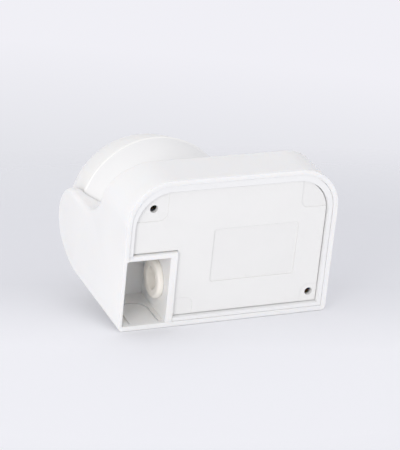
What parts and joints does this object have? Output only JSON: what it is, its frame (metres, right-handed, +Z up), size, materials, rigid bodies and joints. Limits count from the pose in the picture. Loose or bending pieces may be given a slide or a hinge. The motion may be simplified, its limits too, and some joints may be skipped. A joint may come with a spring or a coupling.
{
  "type": "motion detector with tilting ball head",
  "caption": "White wall-mounted motion detector seen with its rear plate, open cable compartment with a cream grommet, and a ball-shaped head with a milky dome held between two arms.",
  "frame": {"origin": "middle of the housing's lower rear rim, in the wall plane", "axes": "+X across to the right as seen from the wall, +Y away from the wall, +Z up"},
  "size_m": [0.11, 0.1194, 0.0959],
  "materials": {
    "white_plastic": "satin",
    "shell_white": "satin",
    "milky_dome": "satin",
    "seal_rubber": "matt",
    "cream_rubber": "matt",
    "board_green": "satin",
    "relay_blue": "matt",
    "capacitor_red": "satin",
    "can_aluminium": "brushed",
    "varistor_blue": "satin",
    "fuse_glass": "polished",
    "ferrite_black": "matt",
    "transformer_yellow": "matt",
    "terminal_grey": "matt",
    "plated_steel": "polished",
    "pot_blue": "matt",
    "knob_grey": "matt",
    "tube_plastic": "matt",
    "gasket_black": "matt",
    "module_shield": "satin",
    "lamp_red": "polished",
    "plug_white": "matt"
  },
  "bodies": {
    "housing_body": {"housing": "white_plastic", "wall_plate": "white_plastic", "perimeter_seal": "seal_rubber", "cable_grommet": "cream_rubber", "main_board": "board_green", "relay": "relay_blue", "film_capacitor": "capacitor_red", "electrolytic_capacitor": "can_aluminium", "varistor": "varistor_blue", "fuse": "fuse_glass", "choke": "ferrite_black", "transformer": "transformer_yellow", "terminal_block": "terminal_grey", "terminal_screws": "plated_steel", "board_screws": "plated_steel", "adjuster_board": "board_green", "adjuster_board_screws": "plated_steel", "potentiometer_1": "pot_blue", "potentiometer_2": "pot_blue", "potentiometer_3": "pot_blue", "pivot_tube": "tube_plastic", "friction_washer": "plated_steel", "retaining_clip": "plated_steel"},
    "head": {"head_rear_shell": "shell_white", "dome": "milky_dome", "dome_gasket": "gasket_black", "sensor_board": "board_green", "radar_module": "module_shield", "indicator_lamp": "lamp_red", "sensor_board_plug": "plug_white", "sensor_board_screws": "plated_steel"},
    "adjuster_1": {"knob_1": "knob_grey"},
    "adjuster_2": {"knob_2": "knob_grey"},
    "adjuster_3": {"knob_3": "knob_grey"}
  },
  "joints": [
    {"name": "head_tilt", "type": "hinge", "parent": "housing_body", "child": "head", "pos_m": [-0.011, 0.0792, 0.02105], "axis": [1, 0, 0], "range_deg": [-55, 15]},
    {"name": "adjuster_1_turn", "type": "hinge", "parent": "housing_body", "child": "adjuster_1", "pos_m": [0.044, 0.022, 0.00175], "axis": [0, 0, 1], "range_deg": [-135, 135]},
    {"name": "adjuster_2_turn", "type": "hinge", "parent": "housing_body", "child": "adjuster_2", "pos_m": [0.044, 0.037, 0.00175], "axis": [0, 0, 1], "range_deg": [-135, 135]},
    {"name": "adjuster_3_turn", "type": "hinge", "parent": "housing_body", "child": "adjuster_3", "pos_m": [0.044, 0.052, 0.00175], "axis": [0, 0, 1], "range_deg": [-135, 135]}
  ]
}
